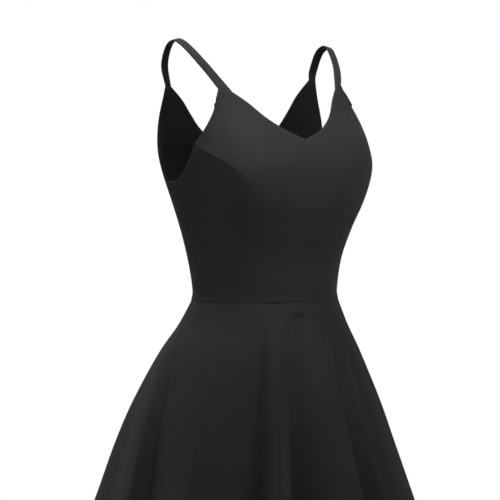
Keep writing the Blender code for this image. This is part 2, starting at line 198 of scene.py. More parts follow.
# The width over which a turned edge thins to the single cloth
TURNED_EDGE_STEP = 2 * MM
SEAM_ROLL = 0.35 * MM
PRESSED_SEAM_ROLL = 0.12 * MM
SEAM_ALLOWANCE = 11 * MM
# How deep the allowances lie, how deep those of the bodice's side seams, and how deep the middle of each
# pressed-open one, which closes its seam from inside
ALLOWANCE_DEPTH = CREPE_THICKNESS + 0.25 * MM
BODICE_SIDE_DEPTH = ALLOWANCE_DEPTH + 0.5 * MM
SEAM_DEPTH = 0.3 * MM
# How far a pressed-open allowance stops from the waist, and from the underarm or the end of the zip
CLEAR_OF_WAIST, CLEAR_OF_END = 2 * MM, 4 * MM
STRIP_COLUMNS = 9
SKIRT_SIDE_ROWS, BODICE_SIDE_ROWS, SKIRT_BACK_ROWS = 70, 40, 60

# The waist allowance shows through as a band this high, with a soft upper edge and foot
WAIST_ALLOWANCE = 6 * MM
WAIST_BAND_EDGE = (WAIST_ALLOWANCE - 1.2 * MM, WAIST_ALLOWANCE + 0.6 * MM)
WAIST_BAND_FOOT = (-1 * MM, 1.5 * MM)
WAIST_BAND_OUT = 0.35 * MM
# The seam's bulk pushes the cloth out on both sides of it, and the skirt springs out further
WAIST_BULK, WAIST_BULK_REACH = 1.0 * MM, 12 * MM
SKIRT_SPRING, SKIRT_SPRING_REACH = 0.6 * MM, 9 * MM
# Inside, the allowance goes round the waist from one side of the zip to the other
WAIST_STRIP_TURNS, WAIST_STRIP_LENGTH = (184, 536), 0.63
WAIST_STRIP_COLUMNS, WAIST_STRIP_ROWS = 353, 8

STRAP_THICKNESS = 2.0 * MM
STRAP_TUCK = 9 * MM
# A strap is pressed thin and drawn in where it is sewn, and its face is a little crowned further on
STRAP_SEWN_REACH = (-1 * MM, 7 * MM)
STRAP_SEWN_THINNER, STRAP_SEWN_DEPTH, STRAP_END_ROLL = 0.9 * MM, 0.45 * MM, 0.2 * MM
STRAP_CROWN = 0.4 * MM

# The net flat cut of each panel: width and length, area
FLAT_CUTS = {
    "bodice_front": ((0.53, 0.33), 0.118),
    "bodice_back_left": ((0.21, 0.33), 0.041),
    "bodice_back_right": ((0.21, 0.33), 0.041),
    "skirt_front": ((1.08, 0.64), 0.456),
    "skirt_back_left": ((0.56, 0.60), 0.214),
    "skirt_back_right": ((0.67, 0.60), 0.255),
}

# The dart's sewn line, from the armhole towards the point of the bust: turn, above
DART_LINE = (
    (33.0, 0.1655),
    (38.4, 0.1745),
    (41.4, 0.1800),
    (44.0, 0.1865),
    (47.0, 0.1938),
    (51.3, 0.2024),
    (55.6, 0.2090),
    (60.4, 0.2166),
    (65.0, 0.2248),
    (70.0, 0.2345),
    (85.0, 0.2630),
    (100.0, 0.2920),
)
DART_POINT_TURN, DART_FULL_TURN = 33.0, 46.0
# The fullness that it gives the cloth above it: turn, how far the cloth stands out at the line, its reach
# upwards, and how softly it rolls over the line
DART_FULLNESS = (
    (14.0, 0.0000, 0.046, 0.026),
    (32.0, 0.0040, 0.046, 0.020),
    (39.0, 0.0062, 0.046, 0.012),
    (46.0, 0.0080, 0.046, 0.0035),
    (56.0, 0.0072, 0.040, 0.0008),
    (67.0, 0.0038, 0.024, 0.0008),
)
DART_ROLL_SAMPLES = 7
DART_SPREAD_DOWN = 32 * MM
LEFT_DART_SHARE = 0.1
# How far round the bust a degree of turn goes
DART_DEGREE = 2.4 * MM
# The lip where the upper cloth is lapped over the seam, in mm: where it rises, its height, and how soon
# it fades upwards
DART_LIP_FROM, DART_LIP_TO, DART_LIP_HEIGHT, DART_LIP_FADES = -0.2, 1.1, 1.1, 3.0

# Where the skirt's fullness is pinched in under the waist, or swells out of it: turn, down, the spread
# before and after that turn, above and below it, depth
PINCHES = (
    (-129.0, 0.017, 0.007, 0.007, 0.006, 0.032, 0.0024),
    (-98.0, 0.020, 0.007, 0.007, 0.006, 0.024, 0.0012),
    (-52.0, 0.022, 0.009, 0.009, 0.008, 0.030, 0.0006),
    (-26.0, 0.0015, 0.018, 0.014, 0.002, 0.005, 0.0022),
    (-20.3, 0.036, 0.007, 0.006, 0.012, 0.050, -0.0020),
    (-3.5, 0.0210, 0.012, 0.009, 0.006, 0.022, 0.0056),
    (31.0, 0.0180, 0.022, 0.007, 0.0055, 0.028, 0.0052),
    (58.0, 0.018, 0.007, 0.007, 0.006, 0.030, 0.0020),
    (91.0, 0.016, 0.007, 0.007, 0.006, 0.022, 0.0013),
    (124.0, 0.019, 0.007, 0.007, 0.006, 0.034, 0.0026),
    (161.0, 0.015, 0.006, 0.006, 0.005, 0.024, 0.0014),
    (204.0, 0.017, 0.007, 0.007, 0.006, 0.032, 0.0024),
)

# ---- The closed zip down the centre back ----
SLIDER_ABOVE = 0.184
ZIP_TOP, ZIP_END = 0.1925, -0.115
ZIP_HALF_GAP = 1.9 * MM
ZIP_CLOSES_OVER = 14 * MM
ZIP_PARTING_REACH = 12 * MM
TAPE_WIDTH, TAPE_THICKNESS, TAPE_DEPTH = 22 * MM, 0.6 * MM, 2.15 * MM
TAPE_TAIL, TAPE_ROWS = 8 * MM, 130
BACK_LINE_SAMPLES = 900
TOOTH_PITCH = 1.5 * MM
TOOTH_SIZE = (2.5 * MM, 2.1 * MM, 0.95 * MM)
TOOTH_ASIDE, TOOTH_ROUNDING = 0.55 * MM, 0.22 * MM
TOPSTITCH_ASIDE = 6.5 * MM
TOPSTITCH_TAIL, TOPSTITCH_BELOW_TOP = 6 * MM, 2 * MM
STITCH_PITCH, STITCH_LENGTH, THREAD_RADIUS = 3.0 * MM, 2.4 * MM, 0.24 * MM
THREAD_PROUD = 0.02 * MM


# ---- The form of the cloth ----
def read_curve(table, at, column=1):
    """A smooth curve through a table's rows, read at places in its first column, level past its ends."""
    rows = np.array(table, float)
    places, values = rows[:, 0], rows[:, column]
    last = len(places) - 1
    low = np.maximum(np.arange(last + 1) - 1, 0)
    high = np.minimum(np.arange(last + 1) + 1, last)
    slopes = (values[high] - values[low]) / (places[high] - places[low])
    at = np.clip(at, places[0], places[last])
    k = np.clip(np.searchsorted(places, at, "right") - 1, 0, last - 1)
    span = places[k + 1] - places[k]
    t = (at - places[k]) / span
    return (
        (2 * t**3 - 3 * t**2 + 1) * values[k]
        + (t**3 - 2 * t**2 + t) * span * slopes[k]
        + (3 * t**2 - 2 * t**3) * values[k + 1]
        + (t**3 - t**2) * span * slopes[k + 1]
    )


def read_points(table, at):
    """The same through the points in a table's second to fourth columns."""
    return np.stack([read_curve(table, at, column) for column in (1, 2, 3)], axis=-1)


def unit(vectors):
    return vectors / np.linalg.norm(vectors, axis=-1, keepdims=True)


def lengths_along(points):
    """How far along a line each of its points is."""
    return np.concatenate([[0], np.cumsum(np.linalg.norm(np.diff(points, axis=0), axis=-1))])


def soft_step(low, high, at):
    t = np.clip((at - low) / (high - low), 0, 1)
    return t * t * (3 - 2 * t)


def placed(x, y, above):
    """Points given from the middle of the waist, in the part's own frame."""
    return np.stack(np.broadcast_arrays(x, y - SHOULDERS_BEHIND_WAIST, above - STRAP_TOP_TO_WAIST), axis=-1)


def section_reach(turn, half_width, depth, power):
    angle = np.radians(turn)
    across = np.abs(np.sin(angle)) / half_width
    along = np.abs(np.cos(angle)) / depth
    return (across**power + along**power) ** (-1 / power)


def bodice_surface(turn, above):
    turn, above = np.broadcast_arrays(np.asarray(turn, float), np.asarray(above, float))
    half_width, middle, front, back, front_power, back_power = (
        read_curve(SECTIONS, above, column) for column in range(1, 7)
    )
    ahead = np.abs((turn + 180) % 360 - 180) < 90
    depth, power = np.where(ahead, front, back), np.where(ahead, front_power, back_power)
    reach = section_reach(turn, half_width, depth, power)
    for side in (-1, 1):
        across = (turn - side * CUP_TURN) / CUP_TURN_SPREAD
        up = (above - CUP_ABOVE) / CUP_RISE_SPREAD
        reach = reach + CUP_DEPTH * np.exp(-(across**2 + up**2) / 2)
    angle = np.radians(turn)
    return placed(reach * np.sin(angle), middle - reach * np.cos(angle), above)


def flute_at(turn, down):
    """How far the skirt stands out from its mean line."""
    rows = np.array(FLUTES + ((FLUTES[0][0] + 360, *FLUTES[0][1:]),))
    turn = (turn - rows[0, 0]) % 360 + rows[0, 0]
    k = np.searchsorted(rows[:, 0], turn, "right") - 1
    t = (turn - rows[k, 0]) / (rows[k + 1, 0] - rows[k, 0])
    firm = (1 - HEM_ROUNDING * (down / SKIRT_LENGTH) ** 3) * soft_step(*CREASES_BEGIN, down)
    outs, softs = [], []
    for row in (rows[k], rows[k + 1]):
        begins = row[..., 2]
        share = np.maximum(0, (down - begins) / (SKIRT_LENGTH - begins))
        outs.append(row[..., 1] * share**FLUTE_GROWTH * (1 + FLUTE_SWELL * (1 - share**2)))
        softs.append(1 - row[..., 3] * firm)
    soft_a, soft_b = softs
    ease = (
        soft_a * soft_b * (1 - np.cos(np.pi * t)) / 2
        + soft_a * (1 - soft_b) * (1 - np.cos(np.pi * t / 2))
        + (1 - soft_a) * soft_b * np.sin(np.pi * t / 2)
        + (1 - soft_a) * (1 - soft_b) * t
    )
    return outs[0] * (1 - ease) + outs[1] * ease


def skirt_out(turn, down):
    swing = read_curve(FLARE, down, 2) * np.cos(np.radians(turn - SWING_TURN))
    return read_curve(FLARE, down) + swing + flute_at(turn, down)


def leant_turn(turn, above):
    """Where cloth that hangs at one turn at the hem lies further up."""
    first = LEAN[0][0]
    return turn + read_curve(LEAN, (turn - first) % 360 + first) * np.exp(above / LEAN_FADES)


def skirt_surface(turn, above):
    turn, above = np.broadcast_arrays(np.asarray(turn, float), np.asarray(above, float))
    leant = leant_turn(turn, above)
    _, half_width, middle, depth, _, power, _ = SECTIONS[0]
    reach = section_reach(leant, half_width, depth, power) + skirt_out(turn, np.maximum(0, -above))
    angle = np.radians(leant)
    return placed(reach * np.sin(angle), middle - reach * np.cos(angle), above)


def hem_drop(turn):
    return np.sqrt(SKIRT_LENGTH**2 - skirt_out(turn, FLARE[-1][0]) ** 2)


def surface_normals(points):
    across = np.gradient(points, axis=1)
    up = np.gradient(points, axis=0)
    return unit(np.cross(across, up))


# ---- Making cloth ----
RIM_STEPS = 4


def around(lower, right, upper, left):
    """The values along a grid's four edges, in one loop."""
    return np.concatenate([lower, right[1:], upper[-2::-1], left[-2:0:-1]])


def keep_mark(mesh, name, values, first=0):
    """Keeps a number on each vertex from the first one given. It is 0 on the others."""
    kept = np.zeros(len(mesh.vertices), dtype=np.float32)
    kept[first : first + len(values)] = values
    mesh.attributes.new(name, "FLOAT", "POINT").data.foreach_set("value", kept)


def shell(name, outer, thickness, rolls, marks=None):
    """A cloth shell with rounded edges over a grid of points in rows upwards.

    rolls says how far the rounding reaches at the lower, right, upper and left edges: half the thickness
    where the cloth is turned, less where a seam pulls it in. marks are values kept on the outer face.
    """
    rows, columns = outer.shape[:2]
    count = rows * columns
    index = np.arange(count).reshape(rows, columns)
    edge = np.unravel_index(around(index[0], index[:, -1], index[-1], index[:, 0]), index.shape)
    rim = len(edge[0])
    reaches = zip(rolls, (columns, rows, columns, rows))
    roll = around(*(np.broadcast_to(reach, length) for reach, length in reaches))[:, None]
    thickness = np.broadcast_to(thickness, (rows, columns))
    half = thickness[edge][:, None] / 2
    normals = surface_normals(outer)
    inside = np.clip(edge[0], 1, rows - 2), np.clip(edge[1], 1, columns - 2)
    outwards = unit(outer[edge] - outer[inside])

    outer = outer.copy()
    outer[edge] -= outwards * (roll + HALF_SEAM_GAP)
    inner = outer - normals * thickness[..., None]
    points = [outer.reshape(-1, 3), inner.reshape(-1, 3)]
    for k in range(1, RIM_STEPS):
        angle = math.pi * (0.5 - k / RIM_STEPS)
        beside = outwards * roll * math.cos(angle)
        points.append(outer[edge] + beside + normals[edge] * half * (math.sin(angle) - 1))

    corners = [index[:-1, :-1], index[:-1, 1:], index[1:, 1:], index[1:, :-1]]
    face = np.stack(corners, axis=-1).reshape(-1, 4)
    faces = [face, face[:, ::-1] + count]
    steps = [2 * count + rim * k + np.arange(rim) for k in range(RIM_STEPS - 1)]
    loops = [index[edge], *steps, index[edge] + count]
    for a, b in zip(loops, loops[1:]):
        faces.append(np.stack([np.roll(a, -1), a, b, np.roll(b, -1)], axis=-1))

    mesh = bpy.data.meshes.new(name)
    mesh.from_pydata(np.concatenate(points).tolist(), [], np.concatenate(faces).tolist())
    # Marks the inner face, which the crepe paints much darker as painted shade inside the dress
    keep_mark(mesh, "painted_shade_reverse", np.ones(count), count)
    for mark, values in (marks or {}).items():
        keep_mark(mesh, mark, values.ravel())
    mesh.shade_smooth()
    piece = bpy.data.objects.new(name, mesh)
    bpy.context.scene.collection.objects.link(piece)
    return piece


def finish_cloth(piece, material, flat, area, held="stretched", node=None):
    piece.data.materials.append(material)
    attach(piece, "dress")
    if node:
        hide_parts(node)


# ---- Bodice ----
NECK_COLUMNS, JOIN_COLUMNS, ARMHOLE_COLUMNS = 54, 8, 54
# Shares of the way up a panel: closer together over the pressed allowance, further apart at each edge
BODICE_SHARES = np.concatenate(
    [[0.0], np.linspace(0.007, 0.050, 18), np.linspace(0.056, 0.985, 136), [1.0]]
)


def lifted(above, neck, lift):
    share = (above - UNDERARM) / (neck[-1][1] - UNDERARM)
    return above + lift * np.maximum(0, share) ** 3


def run_along(run, shares):
    """The turns and heights at shares of the length of a run of places on the bodice."""
    places = np.array(run)
    along = lengths_along(bodice_surface(places[:, 0], places[:, 1]))
    table = np.column_stack([along, places])
    return np.stack([read_curve(table, shares * along[-1], column) for column in (1, 2)])


def upper_edge(neck, armhole, lift):
    """The turns and heights of a half panel's upper edge, from its centre to its side seam."""
    runs = (
        run_along(neck, np.linspace(0, 1, NECK_COLUMNS + 1)),
        run_along((neck[-1], armhole[0]), np.linspace(0, 1, JOIN_COLUMNS + 1)[1:]),
        run_along(armhole, np.linspace(0, 1, ARMHOLE_COLUMNS + 1)[1:]),
    )
    turns, heights = np.concatenate(runs, axis=1)
    return turns, lifted(heights, neck, lift)


def half_panel(neck, armhole, seam_turn, lift):
    turns, tops = upper_edge(neck, armhole, lift)
    shares = np.linspace(0, 1, len(turns))
    w = BODICE_SHARES[:, None]
    rise = w**2
    return shares * seam_turn * (1 - rise) + turns * rise, UNDERARM * w + (tops - UNDERARM) * rise


def bodice_grid(centre, halves, neck, armhole, seam_turn):
    parts = []
    for side, lift in halves:
        turn, above = half_panel(neck, armhole, seam_turn, lift)
        turn = centre + side * turn
        parts.append((turn, above) if side > 0 else (turn[:, ::-1], above[:, ::-1]))
    if len(parts) == 2:
        (turn_a, above_a), (turn_b, above_b) = parts
        return np.hstack([turn_a[:, :-1], turn_b]), np.hstack([above_a[:, :-1], above_b])
    return parts[0]


def dart_marks(turn, above):
    """How far each place is above its dart's sewn line, and how deeply the dart is sewn there."""
    side = np.abs(turn)
    up = above - read_curve(DART_LINE, side)
    degrees = np.arange(0.0, 101.0)
    slope = np.gradient(read_curve(DART_LINE, degrees))
    fall = np.interp(side, degrees, slope) / DART_DEGREE
    return up / np.sqrt(1 + fall**2), soft_step(DART_POINT_TURN, DART_FULL_TURN, side)


def dart_relief(turn, up):
    """Each dart pushes the cloth above it out towards its line. Below the line the cloth falls back."""
    side = np.abs(turn)
    height, reach, roll = (read_curve(DART_FULLNESS, side, column) for column in (1, 2, 3))
    shares = []
    for aside in np.linspace(-1, 1, DART_ROLL_SAMPLES):
        at = up + aside * roll
        above_line = np.clip(1 - np.maximum(at, 0) / reach, 0, 1) ** 2
        below_line = np.exp(np.minimum(at, 0) / DART_SPREAD_DOWN)
        shares.append(above_line * below_line)
    return height * np.mean(shares, axis=0) * np.where(turn > 0, LEFT_DART_SHARE, 1)


def waist_relief(above):
    """The pressed-up allowance shows as a low band above the waist seam, and pushes the cloth out."""
    band = 1 - soft_step(*WAIST_BAND_EDGE, above)
    bulk = WAIST_BULK * np.exp(-above / WAIST_BULK_REACH)
    return WAIST_BAND_OUT * band * soft_step(*WAIST_BAND_FOOT, above) + bulk


def skirt_relief(turns, above):
    """The skirt springs out from under the waist seam, pinched in where its fullness gathers."""
    relief = SKIRT_SPRING * (1 - np.exp(above / SKIRT_SPRING_REACH))
    relief = relief + waist_relief(0.0) * np.exp(above / WAIST_BULK_REACH)
    leant = leant_turn(turns, above)
    for turn, down, before, after, over, under, depth in PINCHES:
        aside = np.radians((leant - turn + 180) % 360 - 180) * SECTIONS[0][1]
        across = np.where(aside < 0, before, after)
        along = np.where(above > -down, over, under)
        relief = relief - depth * np.exp(-((aside / across) ** 2) - ((above + down) / along) ** 2)
    return relief


def part_for_zip(points, side):
    """Moves the edge of a back panel clear of the zip's teeth, down to where the seam closes under it."""
    above = points[..., 2] + STRAP_TOP_TO_WAIST
    apart = soft_step(ZIP_END - ZIP_CLOSES_OVER, ZIP_END, above) * ZIP_HALF_GAP
    points[..., 0] += side * apart * np.exp(-np.abs(points[..., 0]) / ZIP_PARTING_REACH)
    return points


def edge_thickness(points):
    """Thicker along the upper edge, where the facing is turned in."""
    from_top = points[-1, :, 2] - points[..., 2]
    single = soft_step(FACING_WIDTH - TURNED_EDGE_STEP, FACING_WIDTH, from_top)
    return FACED_EDGE_THICKNESS - (FACED_EDGE_THICKNESS - CREPE_THICKNESS) * single


def make_bodice(material):
    turned = FACED_EDGE_THICKNESS / 2
    halves = ((-1, 0.0), (1, LEFT_FRONT_LIFT))
    turn, above = bodice_grid(0.0, halves, FRONT_NECK, FRONT_ARMHOLE, SIDE_SEAM_TURN)
    base = bodice_surface(turn, above)
    up, sewn = dart_marks(turn, above)
    relief = dart_relief(turn, up) + waist_relief(above)
    outer = base + surface_normals(base) * relief[..., None]
    marks = {"dart_up": up / MM, "dart_sewn": sewn}
    rolls = (SEAM_ROLL, SEAM_ROLL, turned, SEAM_ROLL)
    piece = shell("front_panel", outer, edge_thickness(outer), rolls, marks)
    finish_cloth(piece, material, *FLAT_CUTS["bodice_front"], node="bodice_front")
    for name, side, lift in (("left", -1, LEFT_BACK_LIFT), ("right", 1, 0.0)):
        halves = ((side, lift),)
        turn, above = bodice_grid(180.0, halves, BACK_NECK, BACK_ARMHOLE, 180 - SIDE_SEAM_TURN)
        base = bodice_surface(turn, above)
        outer = part_for_zip(base + surface_normals(base) * waist_relief(above)[..., None], -side)
        at_zip, at_side = CREPE_THICKNESS / 2, SEAM_ROLL
        right, left = (at_zip, at_side) if side < 0 else (at_side, at_zip)
        rolls = (SEAM_ROLL, right, turned, left)
        piece = shell(f"back_panel_{name}", outer, edge_thickness(outer), rolls)
        node = f"bodice_back_{name}"
        finish_cloth(piece, material, *FLAT_CUTS[node], node=node)


# ---- Straps ----
STRAP_ROWS, TUCK_ROWS = 220, 10
STRAP_SHARES_ACROSS = np.concatenate([[0.0], np.linspace(0.15, 0.85, 11), [1.0]])


def strap_join(side, centre, neck, armhole, lift, down=0.0):
    """The inner and outer ends of the edge that a strap is sewn to, or of its tucked end, further down."""
    places = np.array([neck[-1], armhole[0]])
    return bodice_surface(centre + side * places[:, 0], lifted(places[:, 1], neck, lift) - down)


def tucked_end(join, side):
    """Rows of points from a strap's own end up to the edge that it is sewn to."""
    rows = []
    for down in np.linspace(STRAP_TUCK, 0, TUCK_ROWS, endpoint=False):
        inner_end, outer_end = strap_join(*join, down)
        left, right = (inner_end, outer_end) if side > 0 else (outer_end, inner_end)
        rows.append(left + (right - left) * STRAP_SHARES_ACROSS[:, None])
    return np.array(rows)


def make_strap(name, side, material):
    front_lift, back_lift = (LEFT_FRONT_LIFT, LEFT_BACK_LIFT) if side > 0 else (0.0, 0.0)
    front = (side, 0.0, FRONT_NECK, FRONT_ARMHOLE, front_lift)
    back = (-side, 180.0, BACK_NECK, BACK_ARMHOLE, back_lift)
    front_inner, front_outer = strap_join(*front)
    back_inner, back_outer = strap_join(*back)
    share = np.linspace(0, 1, STRAP_ROWS + 1)
    route = [(0.0, *((front_inner + front_outer) / 2))]
    route += [(along, *placed(side * out, behind, above)) for along, out, behind, above in STRAP_ROUTE]
    route += [(1.0, *((back_inner + back_outer) / 2))]
    centres = read_points(route, share)
    slope = math.radians(SHOULDER_SLOPE)
    over_shoulder = np.array((side * math.cos(slope), 0, -math.sin(slope))) * STRAP_WIDTH
    top = max(STRAP_ROUTE, key=lambda row: row[3])[0]
    ends = ((0.0, front_outer - front_inner), (WIDTH_TURNS, front_outer - front_inner))
    ends += ((top, over_shoulder), (1.0, back_outer - back_inner))
    widths = [(along, *(side * width)) for along, width in ends]
    across = read_points(widths, share)
    run = unit(np.gradient(centres, axis=0))
    square = across - run * np.sum(across * run, axis=-1, keepdims=True)
    square *= STRAP_WIDTH / np.linalg.norm(square, axis=-1, keepdims=True)
    squared = np.clip(np.minimum(share, 1 - share) / SQUARE_BY, 0, 1)[:, None]
    across += (square - across) * squared
    u = STRAP_SHARES_ACROSS
    outer = centres[:, None] + across[:, None] * (u - 0.5)[None, :, None]
    outer = np.concatenate([tucked_end(front, side), outer, tucked_end(back, side)[::-1]])
    along = lengths_along(outer.mean(axis=1))
    length = float(along[-1])
    from_join = np.minimum(along, length - along) - STRAP_TUCK
    held = 1 - soft_step(*STRAP_SEWN_REACH, from_join)
    thickness = STRAP_THICKNESS - STRAP_SEWN_THINNER * held
    crown = STRAP_CROWN * (1 - (2 * u - 1) ** 2)
    depth = STRAP_SEWN_DEPTH * held[:, None] - crown[None, :] * (1 - held[:, None])
    outer = outer - surface_normals(outer) * depth[..., None]
    edges = thickness / 2
    rolls = (STRAP_END_ROLL, edges, STRAP_END_ROLL, edges)
    strap = shell(f"{name}_strap", outer, thickness[:, None], rolls)
    finish_cloth(strap, material, (STRAP_WIDTH, length), STRAP_WIDTH * length, node=f"strap_{name}")


# ---- Skirt ----
# Shares of the way up the skirt: closer together under the waist, where it is pinched in
SKIRT_SHARES = np.concatenate([[0.0], np.linspace(0.01, 0.905, 90), np.linspace(0.9075, 1.0, 44)])
SKIRT_COLUMN_TURN = 0.62


def skirt_columns(start, end):
    """Turns across a panel, with one at each crest and hollow of its folds."""
    crests = [turn + extra for turn, *_ in FLUTES for extra in (0, 360)]
    stops = sorted({start, end, *(turn for turn in crests if start < turn < end)})
    runs = []
    for a, b in zip(stops, stops[1:]):
        columns = max(1, round((b - a) / SKIRT_COLUMN_TURN))
        runs.append(np.linspace(a, b, columns, endpoint=False))
    return np.concatenate([*runs, [end]])


def make_skirt(material):
    panels = (
        ("front", SKIRT_SEAM_RIGHT, SIDE_SEAM_TURN),
        ("back_left", SIDE_SEAM_TURN, 180.0),
        ("back_right", 180.0, 360 + SKIRT_SEAM_RIGHT),
    )
    for name, start, end in panels:
        turns = skirt_columns(start, end)
        drop = hem_drop(turns)
        above = -drop * (1 - SKIRT_SHARES[:, None])
        base = skirt_surface(turns[None, :], above)
        outer = base + surface_normals(base) * skirt_relief(turns[None, :], above)[..., None]
        if name != "front":
            outer = part_for_zip(outer, 1 if name == "back_left" else -1)
        hem = 1 - soft_step(HEM_ALLOWANCE - TURNED_EDGE_STEP, HEM_ALLOWANCE, drop + above)
        thickness = CREPE_THICKNESS + (HEM_THICKNESS - CREPE_THICKNESS) * hem
        rolls = (HEM_THICKNESS / 2, PRESSED_SEAM_ROLL, SEAM_ROLL, PRESSED_SEAM_ROLL)
        piece = shell(f"skirt_{name}_panel", outer, thickness, rolls)
        node = f"skirt_{name}"
        finish_cloth(piece, material, *FLAT_CUTS[node], held="hung", node=node)


# ---- Inside seams and zip ----
def dress_surface(turn, above):
    above = np.broadcast_to(above, np.broadcast(turn, above).shape)
    upper = bodice_surface(turn, np.maximum(above, 0))
    lower = skirt_surface(turn, np.minimum(above, 0))
    return np.where(above[..., None] >= 0, upper, lower)


def strip_inside(name, centre, width, above, depth, thickness, material, middle_depth=None):
    """A strip of cloth up a seam, inside the dress. Its middle may lie less deep, to close the seam."""
    rows = []
    share = np.linspace(-0.5, 0.5, STRIP_COLUMNS)
    for height in above:
        beside = dress_surface(centre + np.array((-0.5, 0.5)), height)
        degree = np.linalg.norm(np.diff(beside, axis=0))
        rows.append(dress_surface(centre + share * width / degree, height))
    outer = np.array(rows)
    depths = np.where(share == 0, middle_depth or depth, depth)
    outer -= surface_normals(outer) * depths[None, :, None]
    piece = shell(name, outer, thickness, (thickness / 2,) * 4)
    middle = outer[:, STRIP_COLUMNS // 2]
    length = float(np.linalg.norm(np.diff(middle, axis=0), axis=-1).sum())
    finish_cloth(piece, material, (width, length), width * length)


def press_open(name, turn, above, depth, material):
    """The two allowances of a seam, pressed open over the inside of it."""
    strip_inside(name, turn, 2 * SEAM_ALLOWANCE, above, depth, PLY_THICKNESS, material, SEAM_DEPTH)


def up_from_hem(turn, end, rows):
    """Heights up a seam of the skirt, from the top of the turned-up hem."""
    drop = hem_drop(np.array([turn]))[0]
    return np.linspace(-drop + HEM_ALLOWANCE, end, rows)


def make_inside_seams(material):
    turns = np.linspace(*WAIST_STRIP_TURNS, WAIST_STRIP_COLUMNS)
    above = np.linspace(0, SEAM_ALLOWANCE, WAIST_STRIP_ROWS)
    outer = bodice_surface(turns[None, :], above[:, None])
    outer -= surface_normals(outer) * ALLOWANCE_DEPTH
    band = shell("waist_seam_allowance", outer, PLY_THICKNESS, (PLY_THICKNESS / 2,) * 4)
    flat = (WAIST_STRIP_LENGTH, SEAM_ALLOWANCE)
    finish_cloth(band, material, flat, WAIST_STRIP_LENGTH * SEAM_ALLOWANCE)
    sides = (
        ("left", SIDE_SEAM_TURN, SIDE_SEAM_TURN),
        ("right", -SIDE_SEAM_TURN, SKIRT_SEAM_RIGHT),
    )
    for name, turn, skirt_turn in sides:
        above = up_from_hem(skirt_turn, -CLEAR_OF_WAIST, SKIRT_SIDE_ROWS)
        press_open(f"skirt_side_seam_{name}", skirt_turn, above, ALLOWANCE_DEPTH, material)
        above = np.linspace(SEAM_ALLOWANCE + CLEAR_OF_WAIST, UNDERARM - CLEAR_OF_END, BODICE_SIDE_ROWS)
        press_open(f"bodice_side_seam_{name}", turn, above, BODICE_SIDE_DEPTH, material)
    above = up_from_hem(180.0, ZIP_END - CLEAR_OF_END, SKIRT_BACK_ROWS)
    press_open("skirt_back_seam", 180.0, above, ALLOWANCE_DEPTH, material)


def up_the_back(aside, step, start, end):
    """Places up the zip, a step apart, each with the way up the cloth and the way out of it."""
    above = np.linspace(start, end, BACK_LINE_SAMPLES)
    line = dress_surface(np.full(above.shape, 180.0), above)
    along = lengths_along(line)
    at = np.arange(step / 2, along[-1], step)
    places = np.stack([np.interp(at, along, line[:, k]) for k in range(3)], axis=-1)
    run = unit(np.gradient(places, axis=0))
    out = np.cross(run, (1.0, 0.0, 0.0))
    out *= np.sign(out[:, 1])[:, None]
    places[:, 0] += aside
    return list(zip(places, run, out))


def lying_along(run):
    """The turn about X that stands an upright shape along a run in the plane of the centre back."""
    return (math.atan2(run[2], run[1]) - math.pi / 2, 0, 0)


def start_piece(name):
    mesh = bpy.data.meshes.new(name)
    piece = bpy.data.objects.new(name, mesh)
    bpy.context.scene.collection.objects.link(piece)
    bpy.context.view_layer.objects.active = piece
    bpy.ops.object.mode_set(mode="EDIT")
    return piece


def make_zip(cloth, metal, thread):
    above = np.linspace(ZIP_END - TAPE_TAIL, ZIP_TOP, TAPE_ROWS)
    strip_inside("zip_tape", 180.0, TAPE_WIDTH, above, TAPE_DEPTH, TAPE_THICKNESS, cloth)

    teeth = start_piece("zip_teeth")
    for k, (place, run, out) in enumerate(up_the_back(0.0, TOOTH_PITCH / 2, ZIP_END, SLIDER_ABOVE)):
        middle = place - out * TOOTH_SIZE[1] / 2
        middle[0] += TOOTH_ASIDE if k % 2 else -TOOTH_ASIDE
        bpy.ops.mesh.primitive_cube_add(
            size=1,
            location=middle,
            rotation=lying_along(run),
            scale=TOOTH_SIZE,
        )
    bpy.ops.object.mode_set(mode="OBJECT")
    round_off = teeth.modifiers.new("cast_edges", "BEVEL")
    round_off.width, round_off.segments = TOOTH_ROUNDING, 2
    teeth.data.materials.append(metal)
    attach(teeth, "dress")

    start, end = ZIP_END - TOPSTITCH_TAIL, ZIP_TOP - TOPSTITCH_BELOW_TOP
    for name, aside in (("left", TOPSTITCH_ASIDE), ("right", -TOPSTITCH_ASIDE)):
        stitches = start_piece(f"zip_topstitch_{name}")
        for place, run, out in up_the_back(aside, STITCH_PITCH, start, end):
            bpy.ops.mesh.primitive_ico_sphere_add(
                subdivisions=2,
                radius=1,
                location=place + out * THREAD_PROUD,
                rotation=lying_along(run),
                scale=(THREAD_RADIUS, THREAD_RADIUS, STITCH_LENGTH / 2),
            )
        bpy.ops.object.mode_set(mode="OBJECT")
        stitches.data.shade_smooth()
        stitches.data.materials.append(thread)
        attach(stitches, "dress")


# ---- Materials ----
def linear(hex_colour):
    """An sRGB hex colour as linear red, green, blue and alpha."""
    shares = [int(hex_colour[k : k + 2], 16) / 255 for k in (1, 3, 5)]
    return (*(c / 12.92 if c <= 0.04045 else ((c + 0.055) / 1.055) ** 2.4 for c in shares), 1.0)


def add_node(material, kind, inputs=None, **settings):
    """Adds one node. inputs gives its sockets, by name or number, a value, an output or another node.

    Another node stands for its first output.
    """
    tree = material.node_tree
    node = tree.nodes.new(kind)
    for name, value in settings.items():
        setattr(node, name, value)
    for socket, value in (inputs or {}).items():
        if isinstance(value, bpy.types.Node):
            value = value.outputs[0]
        if isinstance(value, bpy.types.NodeSocket):
            tree.links.new(value, node.inputs[socket])
        else:
            node.inputs[socket].default_value = value
    return node


def new_material(name):
    material = bpy.data.materials.new(name)
    material.use_nodes = True
    material.node_tree.nodes.clear()
    return material


def finish_material(material, shader):
    add_node(material, "ShaderNodeOutputMaterial", {"Surface": shader})
    return material


